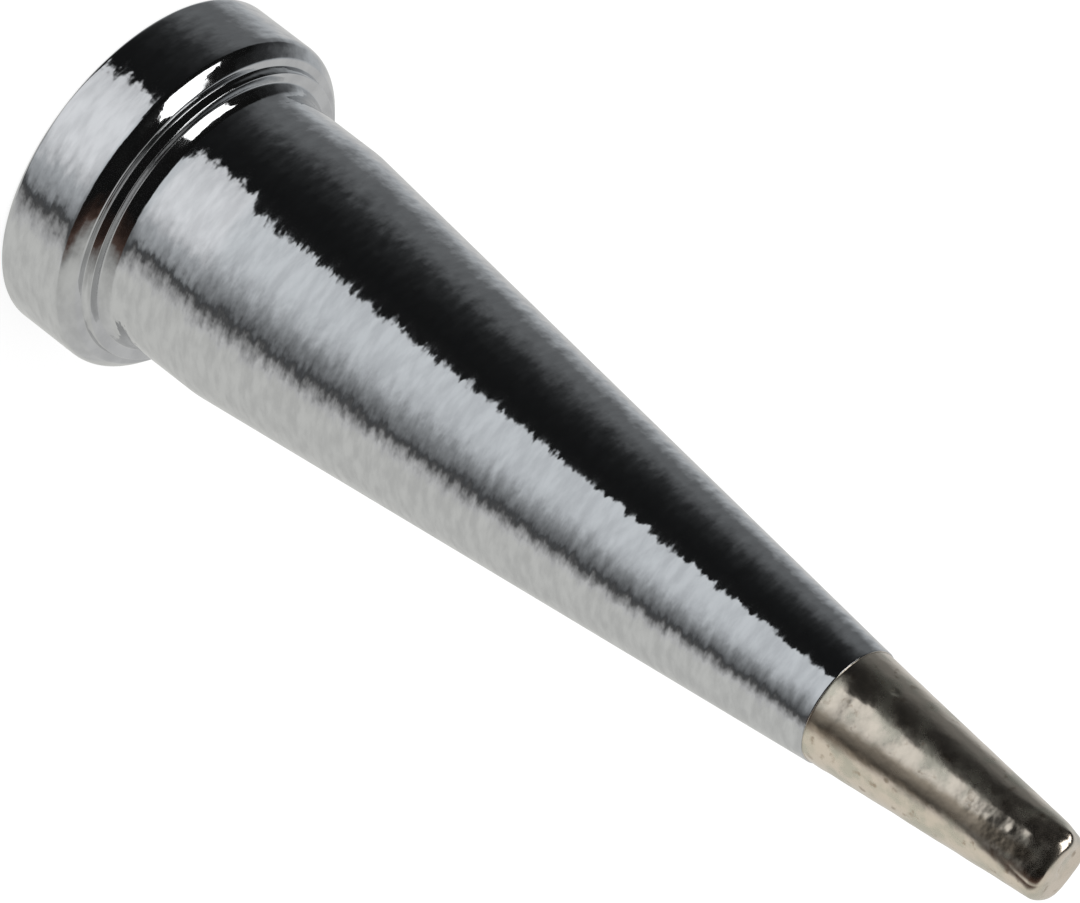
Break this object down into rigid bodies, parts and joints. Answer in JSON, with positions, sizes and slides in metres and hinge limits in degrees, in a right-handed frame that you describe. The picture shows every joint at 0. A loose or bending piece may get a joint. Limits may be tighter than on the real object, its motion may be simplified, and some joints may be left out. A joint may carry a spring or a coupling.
{
  "type": "soldering iron tip",
  "caption": "Long conical soldering iron tip with a bevelled clamping flange, a small chisel end that is tinned, and a blind heater bore in its back.",
  "frame": {"origin": "centre of the flat back face of the flange, on the axis of the tip", "axes": "+Z along the axis, from the flange towards the working end; the flats of the chisel face -Y and +Y, and its width runs along X"},
  "size_m": [0.008, 0.008, 0.0262],
  "materials": {
    "chrome_plate": "bright plated chrome with faint turning marks; the working end is tinned, warm grey and slightly uneven"
  },
  "bodies": {
    "root": {"tip_body": "chrome_plate"}
  },
  "joints": []
}
